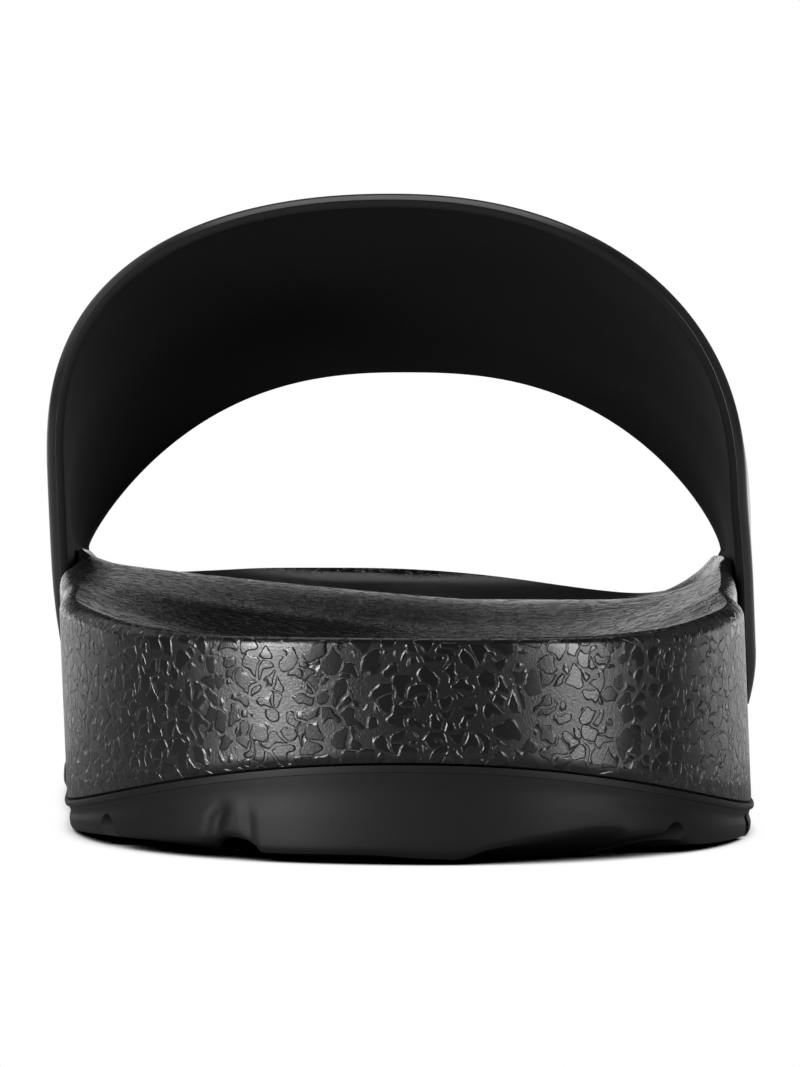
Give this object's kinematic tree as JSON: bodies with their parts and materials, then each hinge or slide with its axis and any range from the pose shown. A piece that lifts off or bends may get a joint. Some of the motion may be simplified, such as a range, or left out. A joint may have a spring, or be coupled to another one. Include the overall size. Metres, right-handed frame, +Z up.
{
  "type": "sport slide sandal",
  "caption": "Open-toed slip-on slide sandal for the right foot, with a moulded footbed, a rubber outsole and a broad moulded strap over the instep.",
  "frame": {"origin": "on the floor under the middle of the sandal's bounding box", "axes": "+Z up, +Y along the sole from the heel to the toe, +X to the lateral side"},
  "size_m": [0.109, 0.286, 0.081],
  "materials": {
    "outsole_rubber": "matt black",
    "midsole_foam": "grained semi-gloss black",
    "strap_rubber": "smooth satin black"
  },
  "bodies": {
    "root": {"outsole": "outsole_rubber", "midsole": "midsole_foam", "strap": "strap_rubber"}
  },
  "joints": []
}
